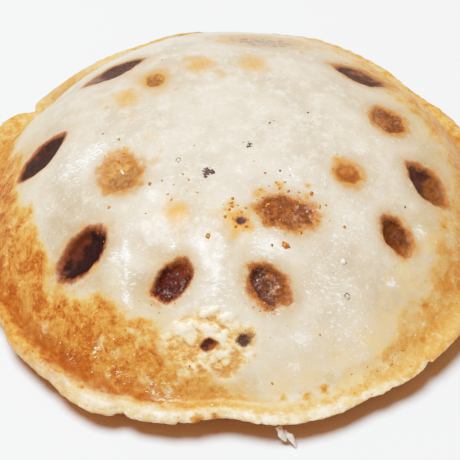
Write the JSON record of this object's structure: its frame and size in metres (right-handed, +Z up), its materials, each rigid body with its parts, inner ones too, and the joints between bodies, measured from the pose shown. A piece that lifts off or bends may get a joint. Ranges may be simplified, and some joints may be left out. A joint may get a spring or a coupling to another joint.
{
  "type": "coconut pancake",
  "caption": "Round griddled coconut pancake, domed over a thin uneven brim, with scorched oval pits in its slope and a flake of coconut hanging from the front.",
  "frame": {"origin": "middle of the bounding box at its lowest height, on the flat spot that the pancake rests on", "axes": "+Z up through the dome, -Y towards the front, where the coconut flake hangs, +X to the right"},
  "size_m": [0.0902, 0.0922, 0.0234],
  "materials": {
    "griddled_dough": "moist pale dough, golden and browned near the brim, with scorched brown pits",
    "coconut": "translucent white coconut flesh, faintly glossy"
  },
  "bodies": {
    "root": {"pancake": "griddled_dough", "coconut_flake": "coconut"}
  },
  "joints": []
}
